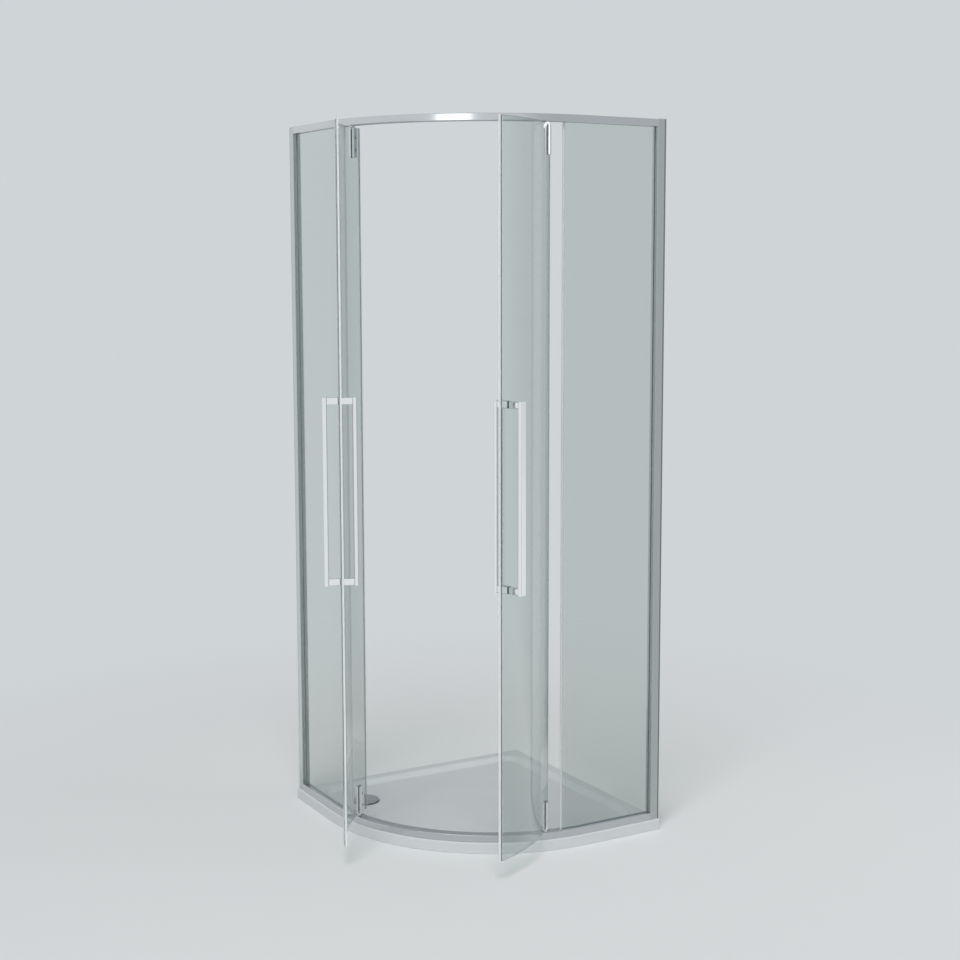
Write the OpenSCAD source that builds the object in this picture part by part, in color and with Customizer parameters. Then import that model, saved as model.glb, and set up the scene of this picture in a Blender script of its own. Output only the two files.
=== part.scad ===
// Quadrant shower enclosure: a low corner tray with one rounded corner, two fixed
// glass panels, and two curved pivot doors that open outwards. Millimetres.
// The origin is the middle of the tray's square on the floor. +Z is up, the back
// wall is at +Y and the side wall at +X. Right-hand pieces are drawn, and the
// left-hand ones are their mirror image across the tray's diagonal.

/* [Tray] */
// Length of the tray along each wall
tray_w = 800; // [760:5:900]
// Radius of the tray's rounded front corner
tray_r = 550; // [520:5:580]
// Height of the tray
tray_h = 32; // [30:1:60]
// Rounding of the tray's upper front edge
tray_edge_r = 4; // [2:0.5:6]
// Width of the rim along the front
rim_w = 54; // [46:1:80]
// Width of the rim along the walls
wall_rim_w = 30; // [20:1:60]
// Depth of the basin below the rim
basin_depth = 14; // [8:1:16]
// Width of the basin's sloping side
basin_slope_w = 24; // [16:1:50]
// Radius of the basin's inner corners, in plan
basin_corner_r = 70; // [55:1:120]

/* [Waste] */
// Distance of the waste from the tray's left edge
waste_from_left = 145; // [130:1:220]
// Distance of the waste from the back wall
waste_from_back = 175; // [130:1:220]
// Diameter of the hole through the tray
waste_hole_d = 76; // [72:1:80]
// Outer diameter of the waste's threaded tube
waste_tube_d = 70; // [60:1:74]
// Wall of the waste's tube
waste_wall = 4; // [2:0.5:6]
// Diameter of the waste's flange
waste_flange_d = 88; // [85:1:92]
// Thickness of the waste's flange
waste_flange_t = 2; // [1.5:0.5:3]
// Thickness of the rubber ring under the flange
waste_seal_t = 1.5; // [1:0.5:3]
// Diameter of the recess around the flange
waste_recess_d = 94; // [93:1:100]
// Depth of the recess below the basin's floor
waste_recess_depth = 4; // [3:0.5:6]
// Diameter of the cover over the waste
cover_d = 88; // [80:1:92]
// Thickness of the cover
cover_t = 3; // [2:0.5:6]
// Height of the water gap under the cover
cover_gap = 3; // [2:0.5:8]

/* [Frame] */
// Height of the enclosure above the tray
encl_h = 2011; // [1800:1:2100]
// Distance of the glass line from the tray's front edge
line_inset = 19; // [17:1:24]
// Width of the rails
rail_w = 28; // [24:1:32]
// Height of the rails
rail_h = 20; // [18:1:30]
// Wall of the rails' hollow chamber
rail_wall = 2; // [1.5:0.1:2.5]
// Rounding of the rails' outer edges
rail_edge_r = 2; // [0.5:0.5:4]
// Depth of the rails' glazing groove
groove_depth = 11; // [10:0.5:12]
// Clearance of the glass in the groove, on each side
groove_clear = 0.3; // [0.2:0.05:0.6]
// Thickness of the glass
glass_t = 6; // [5:1:8]
// Height of the setting blocks under the fixed glass
block_t = 3; // [2:0.5:4]
// Height of the fixed glass inside the top rail's groove
glass_bite = 8; // [5:0.5:9]

/* [Wall profiles] */
// Length of the wall profile along the glass
profile_len = 30; // [30:1:44]
// Width of the wall profile across the glass
profile_w = 28; // [26:1:34]
// Wall of the profile
profile_wall = 2; // [1.5:0.1:2.5]
// Depth of the pocket that slides over the wall channel
pocket_depth = 17; // [16:1:17]
// Depth of the profile's glass slot
slot_depth = 11; // [9:0.5:11]
// Thickness of the glazing gasket
gasket_t = 2; // [1.5:0.5:2.5]
// Depth of the wall channel, from the wall
channel_depth = 15; // [12:1:15]
// Wall of the wall channel
channel_wall = 1.8; // [1.5:0.1:2.5]
// Gap between the profile and the wall
wall_gap = 6; // [1:0.5:6]
// Sliding clearance between the profile and the wall channel
slide_clear = 0.3; // [0.2:0.05:0.6]
// Diameter of the channel's wall fixing holes
wall_hole_d = 6; // [5:0.5:7]
// Spacing of the two outer wall fixing holes
wall_hole_outer = 1680; // [1400:10:1700]
// Spacing of the two inner wall fixing holes
wall_hole_inner = 560; // [400:10:700]
// Spacing of the screws that lock each profile to its channel
lock_spacing = 790; // [600:10:850]
// Thickness of the caps on the profiles
cap_t = 2.5; // [2:0.5:5]

/* [Doors] */
// Arc length from the end of the straight run to the pivot
pivot_arc = 126; // [118:1:134]
// Arc length of the door behind the pivot, with its seal
tail_len = 44; // [38:1:48]
// Gap between the door's tail and the fixed panel's seal
tail_gap = 1.2; // [0.8:0.1:3]
// Gap between the two closed doors on the diagonal
meet_gap = 2; // [1:0.5:5]
// Gap between the door's glass and the bottom rail
door_gap_low = 6; // [5:0.5:8]
// Gap between the door's glass and the top rail
door_gap_high = 4; // [3:0.5:7]
// Angle from closed at which the doors stand
open_angle = 62; // [40:1:90]

/* [Hinges] */
// Height of a pivot block
block_h = 85; // [70:1:100]
// Width of a pivot block along the glass
block_w = 21; // [19:1:26]
// Thickness of a pivot block across the glass
block_d = 20; // [19:1:24]
// Thickness of the pad between block and glass
pad_t = 1; // [0.5:0.1:1.5]
// Height of solid metal between the pin and the glass slot
nose_h = 9; // [8:0.5:11]
// Diameter of the pivot pin
pin_d = 8; // [6:0.5:9]
// Running clearance of the pin in its bush, on the radius
pin_clear = 0.05; // [0.02:0.01:0.1]
// Outer diameter of the bush
bush_d = 14; // [12:0.5:16]
// Diameter of the bush's flange
bush_flange_d = 17; // [16.5:0.5:19]
// Thickness of the bush's flange and floor
bush_t = 1.5; // [1:0.5:1.5]
// Gap between pivot block and bush flange
thrust_gap = 0.3; // [0.2:0.1:1]
// Diameter of the hinge screws
hinge_screw_d = 5; // [4:0.5:6]
// Spacing of the two screws in a pivot block
hinge_screw_spacing = 34; // [28:1:40]

/* [Handles] */
// Overall height of a handle
handle_h = 511; // [300:1:600]
// Height of the handle's middle above the floor
handle_z = 1035; // [900:5:1200]
// Distance of the handle from the door's free edge
handle_inset = 45; // [38:1:70]
// Distance of the bar's middle from the middle of the glass
handle_reach = 40; // [34:1:50]
// Width of the handle's bar
bar_w = 24; // [21:1:30]
// Thickness of the handle's bar
bar_t = 12; // [8:0.5:14]
// Size of the handle's square legs
leg_s = 20; // [16:0.5:21]
// Diameter of the handle's washers
washer_d = 19; // [16:0.5:20]
// Thickness of the washers
washer_t = 1.5; // [1:0.1:2.5]
// Diameter of the stud that joins two handles
stud_d = 6; // [5:0.5:8]

/* [Seals] */
// Length of a seal's clip over the glass
clip_len = 6.5; // [6:0.5:12]
// Thickness of a seal's clip
clip_t = 1; // [0.8:0.1:1.5]
// Length of the magnetic seal beyond the glass
magnet_nose = 8; // [7:0.5:10]
// Side of the magnetic strip
magnet_s = 4.4; // [3.5:0.1:5]
// Length of the tail seal beyond the glass
tail_nose = 3; // [2:0.5:5]
// Length of the fixed panel's end seal beyond the glass
fixed_nose = 4; // [2:0.5:6]
// Gap between the bottom seal's fins and the rail
fin_gap = 0.8; // [0.4:0.1:1.2]

/* [Hidden] */
$fn = 64;
// Facets of a full turn on the large arcs
arc_fn = 240;
// Overshoot of cutting shapes
cut = 1;
// Fit of a screw or strip in its hole, on each side
snug = 0.05;
// Loose fit of small moulded parts, on each side
loose = 0.2;

// Plan
half = tray_w / 2;
arc_c = tray_r - half;
line_r = tray_r - line_inset;
line_y = line_inset - half;
deg_mm = 180 / (PI * line_r);
glass_h = glass_t / 2;
clip_h = glass_h + clip_t;
groove_w = glass_t + 2 * groove_clear;

block_len = 25;

// Heights
low_top = tray_h + rail_h;
low_floor = low_top - groove_depth;
high_top = tray_h + encl_h;
high_face = high_top - rail_h;
glass_z0 = low_floor + block_t;
glass_z1 = high_face + glass_bite;
door_z0 = low_top + door_gap_low;
door_z1 = high_face - door_gap_high;
mid_z = (tray_h + high_top) / 2;

// Angles along the curve, from the end of the right straight run to the diagonal
pivot_a = pivot_arc * deg_mm;
free_a = 45 - meet_gap / 2 * deg_mm;
door_free_a = free_a - magnet_nose * deg_mm;
tail_a = pivot_a - tail_len * deg_mm;
door_tail_a = tail_a + tail_nose * deg_mm;
end_seal_a = tail_a - tail_gap * deg_mm;
fixed_a = end_seal_a - fixed_nose * deg_mm;
handle_a = free_a - handle_inset * deg_mm;
pivot_p = [arc_c - line_r * sin(pivot_a), arc_c - line_r * cos(pivot_a), 0];

// Tray and waste
basin_z = tray_h - basin_depth;
basin_r = tray_r - rim_w;
basin_front = rim_w - half;
basin_back = half - wall_rim_w;
slope_steps = 6;
waste_p = [waste_from_left - half, half - waste_from_back, 0];
recess_z = basin_z - waste_recess_depth;
flange_z = recess_z + waste_seal_t;
flange_top = flange_z + waste_flange_t;
waste_foot_gap = 0.5;
cover_z = flange_top + cover_gap;
cover_edge_r = 1;
cover_leg_d = 6;
cover_leg_r = (waste_tube_d + cover_d) / 4 - cover_leg_d / 8;

// Wall profiles, measured along X from the middle of the tray
profile_x0 = half - profile_len;
profile_x1 = half - wall_gap;
pocket_x = half - pocket_depth;
pocket_w = profile_w - 2 * profile_wall;
slot_w = glass_t + 2 * gasket_t;
chamber_w = (profile_w - slot_w) / 2 - 2 * profile_wall;
chamber_off = (profile_w + slot_w) / 4;
chamber_len = pocket_x - profile_x0 - 2 * profile_wall;
glass_end_x = profile_x0 + slot_depth - gasket_t;
channel_w = pocket_w - 2 * slide_clear;
lock_d = 4;
lock_head_d = 7;
lock_head_t = 2.2;
lock_x = half - channel_depth / 2 - wall_gap / 2;
cap_lip = 0.3;
cap_peg_h = 6;

// Rail screws
rail_screw_d = 4;
rail_screw_head_d = pocket_w - 2 * chamber_off - 2 * snug;
rail_screw_head_t = 1.6;
rail_screw_grip = 26;
rail_screw_back = rail_h - groove_depth / 2;
rail_screw_zs = [tray_h + rail_screw_back, high_top - rail_screw_back];

// Hinges, with heights measured from the face of the rail into the doorway
nose_z = bush_t + thrust_gap;
slot_z = nose_z + nose_h;
block_top = nose_z + block_h;
glass_notch_z = slot_z + pad_t;
notch_gap = 1;
pin_foot = 0.3;
pin_skin = 1;
pin_bite = nose_h - pin_skin;
screw_head_d = 9;
screw_head_t = 2.4;
screw_skin = 2;
screw_mid_z = slot_z + (block_top - slot_z) / 2;
glass_hole_gap = 2;
bush_gap = 0.4;

// Handles
bar_edge_r = 3;
leg_edge_r = 4;
handle_z0 = handle_z - handle_h / 2;
leg_zs = [handle_z0 + leg_s / 2, handle_z0 + handle_h - leg_s / 2];
inner_r = line_r - glass_h;
washer_clear = 0.02;
washer_dip = inner_r - sqrt(inner_r * inner_r - washer_d * washer_d / 4) + washer_clear;
stud_bite = 12;

// Seals
magnet_skin = 1.4;
seal_end_gap = 0.3;
fin_t = 1;
fin_base_t = 1.2;
bottom_clip_h = 10;
bottom_seal_gap = 2;

// A rounded rectangle around the origin
module round_rect(w, h, r) {
    square([w - 2 * r, h], center = true);
    square([w, h - 2 * r], center = true);
    for (x = [r - w / 2, w / 2 - r], y = [r - h / 2, h / 2 - r])
        translate([x, y]) circle(r);
}

// Sweeps a section around the front curve. In the section, x is the distance
// from the centre of the curve, and y is the height.
module around(a0, a1)
    translate([arc_c, arc_c, 0])
        rotate([0, 0, 270 - a1])
            rotate_extrude(angle = a1 - a0, $fn = arc_fn) children();

// A curved bar between two offsets from the glass line
module arc_bar(o0, o1, a0, a1, z0, z1)
    around(a0, a1) translate([line_r + o0, z0]) square([o1 - o0, z1 - z0]);

// Sweeps a section along the right straight run. In the section, x is the
// distance outwards from the glass line, and y is the height.
module along(x0, x1)
    translate([x1, line_y, 0]) rotate([90, 0, -90]) linear_extrude(x1 - x0) children();

// Places a piece on the curve: x towards the free edge, y outwards
module on_arc(a)
    translate([arc_c, arc_c, 0]) rotate([0, 0, 180 - a]) translate([0, line_r, 0]) children();

// Lays a section across the glass: its x is outwards, its y is up
module across(w)
    translate([-w / 2, 0, 0]) rotate([90, 0, 90]) linear_extrude(w) children();

// The other hand of a piece
module left() mirror([1, -1, 0]) children();

// Swings a right-hand door piece from closed to where the doors stand
module swing()
    translate(pivot_p) rotate([0, 0, open_angle]) translate(-pivot_p) children();

// The two ends of a pivot: z runs from the face of each rail into the doorway
module at_low() translate([0, 0, low_top]) children();
module at_high() translate([0, 0, high_face]) mirror([0, 0, 1]) children();

// Tray: the solid slab
module tray_edge(len)
    union() {
        square([len - tray_edge_r, tray_h]);
        square([len, tray_h - tray_edge_r]);
        translate([len - tray_edge_r, tray_h - tray_edge_r]) circle(tray_edge_r);
    }

module tray_side()
    translate([half, arc_c, 0]) rotate([90, 0, -90]) linear_extrude(half - arc_c) tray_edge(tray_r);

module tray_slab() {
    around(0, 90) tray_edge(tray_r);
    tray_side();
    left() tray_side();
    translate([arc_c, arc_c, 0]) cube([half - arc_c, half - arc_c, tray_h]);
}

// Half of the basin's section, from its middle to its upper edge
module basin_section(len)
    polygon(concat([[0, tray_h + cut], [0, basin_z]],
        [for (i = [0:slope_steps]) [len - basin_slope_w * (1 - i / slope_steps),
            basin_z + basin_depth * (1 - cos(180 * i / slope_steps)) / 2]],
        [[len, tray_h + cut]]));

module basin_corner(x, y, turn)
    translate([x, y, 0]) rotate([0, 0, turn])
        rotate_extrude(angle = 90) basin_section(basin_corner_r);

// A straight side of the basin that starts at the origin, runs along +X and rises towards -Y
module basin_side(len)
    translate([len, basin_corner_r, 0]) rotate([90, 0, -90])
        linear_extrude(len) basin_section(basin_corner_r);

module basin() {
    in_front = basin_front + basin_corner_r;
    in_back = basin_back - basin_corner_r;
    across_len = in_back - in_front;
    around(0, 90) basin_section(basin_r);
    translate([arc_c, basin_front, 0]) basin_side(in_back - arc_c);
    left() translate([arc_c, basin_front, 0]) basin_side(in_back - arc_c);
    translate([basin_back, in_front, 0]) rotate([0, 0, 90]) basin_side(across_len);
    left() translate([basin_back, in_front, 0]) rotate([0, 0, 90]) basin_side(across_len);
    basin_corner(in_back, in_front, 270);
    basin_corner(in_back, in_back, 0);
    basin_corner(in_front, in_back, 90);
    translate([arc_c, in_front, basin_z]) cube([in_back - arc_c, across_len, basin_depth + cut]);
    translate([in_front, arc_c, basin_z]) cube([across_len, in_back - arc_c, basin_depth + cut]);
}

module tray() color("white")
    difference() {
        tray_slab();
        basin();
        translate(waste_p) translate([0, 0, recess_z])
            cylinder(h = basin_depth + waste_recess_depth, d = waste_recess_d);
        translate(waste_p) translate([0, 0, -cut]) cylinder(h = tray_h, d = waste_hole_d);
    }

// Waste
module ring(d_out, d_in, z0, z1)
    difference() {
        translate([0, 0, z0]) cylinder(h = z1 - z0, d = d_out);
        translate([0, 0, z0 - cut]) cylinder(h = z1 - z0 + 2 * cut, d = d_in);
    }

module waste_body() color("gray")
    translate(waste_p) difference() {
        union() {
            translate([0, 0, waste_foot_gap]) cylinder(h = flange_top - waste_foot_gap, d = waste_tube_d);
            translate([0, 0, flange_z]) cylinder(h = waste_flange_t, d = waste_flange_d);
        }
        cylinder(h = tray_h, d = waste_tube_d - 2 * waste_wall);
    }

module waste_seal() color("dimgray")
    translate(waste_p) ring(waste_flange_d, waste_hole_d, recess_z, flange_z);

module waste_cover() color("silver")
    translate(waste_p) {
        translate([0, 0, cover_z]) rotate_extrude() {
            square([cover_d / 2 - cover_edge_r, cover_t]);
            square([cover_d / 2, cover_t - cover_edge_r]);
            translate([cover_d / 2 - cover_edge_r, cover_t - cover_edge_r])
                intersection() {
                    circle(cover_edge_r);
                    square(cover_edge_r);
                }
        }
        for (turn = [0:120:240]) rotate([0, 0, turn])
            translate([cover_leg_r, 0, flange_top])
                cylinder(h = cover_gap + cover_t / 2, d = cover_leg_d);
    }

// Wall channel and the glass profile that slides over it
module channel_section()
    translate([half - channel_depth, line_y]) difference() {
        translate([0, -channel_w / 2]) square([channel_depth, channel_w]);
        translate([-cut, channel_wall - channel_w / 2])
            square([channel_depth - channel_wall + cut, channel_w - 2 * channel_wall]);
    }

module lock_holes(d)
    for (z = [mid_z - lock_spacing, mid_z, mid_z + lock_spacing])
        translate([lock_x, line_y, z]) rotate([-90, 0, 0]) cylinder(h = profile_w, d = d);

module wall_channel() color("silver")
    difference() {
        translate([0, 0, tray_h]) linear_extrude(encl_h) channel_section();
        for (s = [wall_hole_outer, wall_hole_inner], side = [-1, 1])
            translate([half - 2 * channel_wall, line_y, mid_z + side * s / 2])
                rotate([0, 90, 0]) cylinder(h = 3 * channel_wall, d = wall_hole_d);
        lock_holes(lock_d + 2 * snug);
    }

module profile_section()
    translate([0, line_y]) difference() {
        translate([(profile_x0 + profile_x1) / 2, 0])
            round_rect(profile_x1 - profile_x0, profile_w, profile_wall / 2);
        translate([pocket_x, -pocket_w / 2]) square([pocket_depth, pocket_w]);
        translate([profile_x0 - cut, -slot_w / 2]) square([slot_depth + cut, slot_w]);
        for (side = [-1, 1])
            translate([profile_x0 + profile_wall, side * chamber_off - chamber_w / 2])
                square([chamber_len, chamber_w]);
    }

module rail_screw_pair(z, d)
    for (side = [-1, 1])
        translate([profile_x0 - rail_screw_grip, line_y + side * chamber_off, z])
            rotate([0, 90, 0]) cylinder(h = pocket_x - profile_x0 + rail_screw_grip + snug, d = d);

module glass_profile() color("silver")
    difference() {
        translate([0, 0, tray_h]) linear_extrude(encl_h) profile_section();
        lock_holes(lock_d + 2 * snug);
        for (z = rail_screw_zs)
            rail_screw_pair(z, rail_screw_d + 2 * snug);
    }

module profile_cap() color("silver") {
    translate([half - profile_len / 2, line_y, high_top])
        linear_extrude(cap_t) round_rect(profile_len, profile_w + 2 * cap_lip, profile_wall / 2);
    for (side = [-1, 1])
        translate([profile_x0 + profile_wall + chamber_len / 2, line_y + side * chamber_off,
            high_top - cap_peg_h])
            cylinder(h = cap_peg_h, d = chamber_w - 2 * loose);
}

module profile_screws() color("gray")
    for (z = [mid_z - lock_spacing, mid_z, mid_z + lock_spacing])
        translate([lock_x, line_y + channel_w / 2 - channel_wall, z]) rotate([-90, 0, 0]) {
            cylinder(h = profile_w / 2 - channel_w / 2 + channel_wall, d = lock_d);
            translate([0, 0, profile_w / 2 - channel_w / 2 + channel_wall])
                cylinder(h = lock_head_t, d = lock_head_d);
        }

module glazing_gasket() color("dimgray")
    translate([profile_x0, line_y, glass_z0]) linear_extrude(glass_z1 - glass_z0) difference() {
        translate([0, -slot_w / 2]) square([slot_depth, slot_w]);
        translate([-cut, -glass_h]) square([slot_depth - gasket_t + cut, glass_t]);
    }

// Fixed glass, its setting blocks and the seal on its end
module fixed_glass() color("lightcyan", 0.4)
    translate([0, 0, glass_z0]) linear_extrude(glass_z1 - glass_z0) {
        translate([arc_c, line_y - glass_h]) square([glass_end_x - arc_c, glass_t]);
        translate([arc_c, arc_c]) intersection() {
            difference() {
                circle(line_r + glass_h, $fn = arc_fn);
                circle(line_r - glass_h, $fn = arc_fn);
            }
            polygon([[0, 0], [-2 * line_r * tan(fixed_a), -2 * line_r], [0, -2 * line_r]]);
        }
    }

module setting_blocks() color("dimgray")
    for (x = [arc_c + (profile_x0 - arc_c) / 4, arc_c + (profile_x0 - arc_c) * 3 / 4])
        translate([x, line_y, low_floor + block_t / 2])
            cube([block_len, groove_w - loose, block_t], center = true);

module end_seal() color("whitesmoke")
    difference() {
        arc_bar(-clip_h, clip_h, fixed_a - clip_len * deg_mm, end_seal_a,
            low_top + seal_end_gap, high_face - seal_end_gap);
        fixed_glass();
    }

// Rails
module rail_section()
    difference() {
        translate([0, rail_h / 2]) round_rect(rail_w, rail_h, rail_edge_r);
        translate([-groove_w / 2, rail_h - groove_depth]) square([groove_w, groove_depth + cut]);
        translate([rail_wall - rail_w / 2, rail_wall])
            square([rail_w - 2 * rail_wall, rail_h - groove_depth - 2 * rail_wall]);
    }

module bush_bore()
    on_arc(pivot_a) translate([0, 0, rail_h - groove_depth]) cylinder(h = groove_depth + cut, d = bush_d);

// A whole rail with its back at z = 0 and its groove upwards
module rail()
    difference() {
        union() {
            around(0, 90) translate([line_r, 0]) rail_section();
            along(arc_c, profile_x0) rail_section();
            left() along(arc_c, profile_x0) rail_section();
        }
        bush_bore();
        left() bush_bore();
        rail_screw_pair(rail_screw_back, rail_screw_d + 2 * snug);
        left() rail_screw_pair(rail_screw_back, rail_screw_d + 2 * snug);
    }

module bottom_rail() color("silver") translate([0, 0, tray_h]) rail();
module top_rail() color("silver") translate([0, 0, high_top]) mirror([0, 0, 1]) rail();

// Strips that fill the grooves across the doorway, interrupted at the bushes
module infill(z0, z1) {
    bush_a = (bush_d / 2 + bush_gap) * deg_mm;
    start_a = fixed_a + seal_end_gap * deg_mm;
    strip_h = groove_w / 2 - loose;
    arc_bar(-strip_h, strip_h, start_a, pivot_a - bush_a, z0, z1);
    arc_bar(-strip_h, strip_h, pivot_a + bush_a, 90 - pivot_a - bush_a, z0, z1);
    arc_bar(-strip_h, strip_h, 90 - pivot_a + bush_a, 90 - start_a, z0, z1);
}

module top_infill() color("gray") infill(high_face, high_face + groove_depth);
module bottom_infill() color("gray") infill(low_floor, low_top);

module rail_screws() color("gray")
    for (z = rail_screw_zs, side = [-1, 1])
        translate([profile_x0 - rail_screw_grip, line_y + side * chamber_off, z]) rotate([0, 90, 0]) {
            cylinder(h = pocket_x - profile_x0 + rail_screw_grip, d = rail_screw_d);
            translate([0, 0, pocket_x - profile_x0 + rail_screw_grip])
                cylinder(h = rail_screw_head_t, d = rail_screw_head_d);
        }

// A flanged cup in the rail's bore, open towards the doorway
module bush()
    difference() {
        union() {
            translate([0, 0, -groove_depth]) cylinder(h = groove_depth, d = bush_d);
            cylinder(h = bush_t, d = bush_flange_d);
        }
        translate([0, 0, bush_t - groove_depth])
            cylinder(h = groove_depth + cut, d = pin_d + 2 * pin_clear);
    }

module pivot_bushes() color("white")
    on_arc(pivot_a) {
        at_low() bush();
        at_high() bush();
    }

// Doors. Every piece is drawn closed, and swing() opens it.
module door_pane(z0, z1) arc_bar(-glass_h, glass_h, door_tail_a, door_free_a, z0, z1);

module hinge_screw_places()
    for (side = [-1, 1])
        translate([0, 0, screw_mid_z + side * hinge_screw_spacing / 2])
            rotate([-90, 0, 0]) children();

module hinge_cuts() {
    translate([-block_w / 2 - notch_gap, -block_d, -cut - door_gap_low])
        cube([block_w + 2 * notch_gap, 2 * block_d, glass_notch_z + door_gap_low + cut]);
    hinge_screw_places()
        translate([0, 0, -block_d]) cylinder(h = 2 * block_d, d = hinge_screw_d + 2 * glass_hole_gap);
}

module door_glass() color("lightcyan", 0.4)
    difference() {
        door_pane(door_z0, door_z1);
        on_arc(pivot_a) {
            at_low() hinge_cuts();
            at_high() hinge_cuts();
        }
        on_arc(handle_a)
            for (z = leg_zs)
                translate([0, -block_d, z]) rotate([-90, 0, 0])
                    cylinder(h = 2 * block_d, d = stud_d + 3 * glass_hole_gap);
    }

// The U-shaped block: a rounded nose below, a slot for the glass above
module block_section() {
    translate([0, nose_z + block_d / 2]) circle(d = block_d);
    translate([-block_d / 2, nose_z + block_d / 2]) square([block_d, block_h - block_d / 2]);
}

module block_drilled()
    difference() {
        across(block_w) block_section();
        translate([0, 0, nose_z - cut]) cylinder(h = pin_bite + cut, d = pin_d);
        hinge_screw_places() {
            translate([0, 0, -block_d / 2 - cut]) cylinder(h = screw_head_t + cut, d = screw_head_d + 2 * snug);
            translate([0, 0, -block_d / 2]) cylinder(h = block_d - screw_skin, d = hinge_screw_d + 2 * snug);
        }
    }

module hinge_slot(z0, z1) arc_bar(-glass_h - pad_t, glass_h + pad_t, 0, 45, z0, z1);

module hinge_block_bottom() color("silver")
    difference() {
        on_arc(pivot_a) at_low() block_drilled();
        hinge_slot(low_top + slot_z, low_top + block_top + cut);
    }

module hinge_block_top() color("silver")
    difference() {
        on_arc(pivot_a) at_high() block_drilled();
        hinge_slot(high_face - block_top - cut, high_face - slot_z);
    }

// The U-shaped pads that line the slots
module pad_arc(o, z0, z1) {
    pad_a = (block_w / 2 - notch_gap) * deg_mm;
    arc_bar(-o, o, pivot_a - pad_a, pivot_a + pad_a, z0, z1);
}

module hinge_pads() color("dimgray")
    difference() {
        union() {
            pad_arc(glass_h + pad_t, low_top + slot_z, low_top + block_top);
            pad_arc(glass_h + pad_t, high_face - block_top, high_face - slot_z);
        }
        door_pane(low_top + glass_notch_z, high_face - glass_notch_z);
        on_arc(pivot_a) {
            at_low() hinge_screw_places()
                translate([0, 0, -block_d]) cylinder(h = 2 * block_d, d = hinge_screw_d + 2 * snug);
            at_high() hinge_screw_places()
                translate([0, 0, -block_d]) cylinder(h = 2 * block_d, d = hinge_screw_d + 2 * snug);
        }
    }

module pin()
    translate([0, 0, bush_t - groove_depth + pin_foot])
        cylinder(h = groove_depth - bush_t - pin_foot + nose_z + pin_bite, d = pin_d);

module pivot_pins() color("silver")
    on_arc(pivot_a) {
        at_low() pin();
        at_high() pin();
    }

module hinge_screw()
    hinge_screw_places() {
        translate([0, 0, -block_d / 2]) cylinder(h = screw_head_t, d = screw_head_d);
        translate([0, 0, -block_d / 2]) cylinder(h = block_d - screw_skin, d = hinge_screw_d);
    }

module hinge_screws() color("gray")
    on_arc(pivot_a) {
        at_low() hinge_screw();
        at_high() hinge_screw();
    }

// Handles. A D-shaped bar on two legs, with its seat at distance y0 from the glass line.
module handle(y0)
    difference() {
        union() {
            translate([0, handle_reach, handle_z0]) linear_extrude(handle_h) round_rect(bar_w, bar_t, bar_edge_r);
            for (z = leg_zs)
                translate([0, y0, z]) rotate([-90, 0, 0])
                    linear_extrude(handle_reach - y0) round_rect(leg_s, leg_s, leg_edge_r);
        }
        for (z = leg_zs)
            translate([0, y0 - cut, z]) rotate([-90, 0, 0]) cylinder(h = stud_bite + cut, d = stud_d);
    }

module handle_outer() color("silver") on_arc(handle_a) handle(glass_h + washer_t);

module handle_inner() color("silver")
    on_arc(handle_a) mirror([0, 1, 0]) handle(glass_h + washer_dip + washer_t);

module handle_studs() color("gray")
    on_arc(handle_a) for (z = leg_zs)
        translate([0, cut - glass_h - washer_t - stud_bite, z]) rotate([-90, 0, 0])
            cylinder(h = 2 * (glass_h + washer_t + stud_bite - cut), d = stud_d);

module washer(y0)
    translate([0, y0, 0]) rotate([-90, 0, 0]) ring(washer_d, stud_d + 2 * snug, 0, washer_t);

module handle_washers() color("dimgray")
    on_arc(handle_a) for (z = leg_zs)
        translate([0, 0, z]) {
            washer(glass_h);
            washer(-glass_h - washer_dip - washer_t);
        }

// Seals
module magnet_bar(fit, over)
    arc_bar(-magnet_s / 2 - fit, magnet_s / 2 + fit,
        free_a - (magnet_skin + magnet_s + fit) * deg_mm, free_a - (magnet_skin - fit) * deg_mm,
        door_z0 - over, door_z1 + over);

module magnetic_seal() color("whitesmoke")
    difference() {
        arc_bar(-clip_h, clip_h, door_free_a - clip_len * deg_mm, free_a, door_z0, door_z1);
        door_pane(door_z0 - cut, door_z1 + cut);
        magnet_bar(snug, cut);
    }

module magnet_strip() color("gainsboro") magnet_bar(0, 0);

module tail_seal() color("whitesmoke")
    difference() {
        arc_bar(-clip_h, clip_h, tail_a, door_tail_a + clip_len * deg_mm, door_z0, door_z1);
        door_pane(door_z0 - cut, door_z1 + cut);
    }

module bottom_seal() color("whitesmoke") {
    a0 = pivot_a + (block_w / 2 + bottom_seal_gap) * deg_mm;
    a1 = door_free_a - (clip_len + seal_end_gap) * deg_mm;
    difference() {
        arc_bar(-clip_h, clip_h, a0, a1, door_z0 - fin_base_t, door_z0 + bottom_clip_h);
        door_pane(door_z0, door_z1);
    }
    arc_bar(clip_h - fin_t, clip_h, a0, a1, low_top + fin_gap, door_z0 - fin_base_t);
    arc_bar(-clip_h, fin_t - clip_h, a0, a1, low_top + fin_gap, door_z0 - fin_base_t);
}

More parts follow.
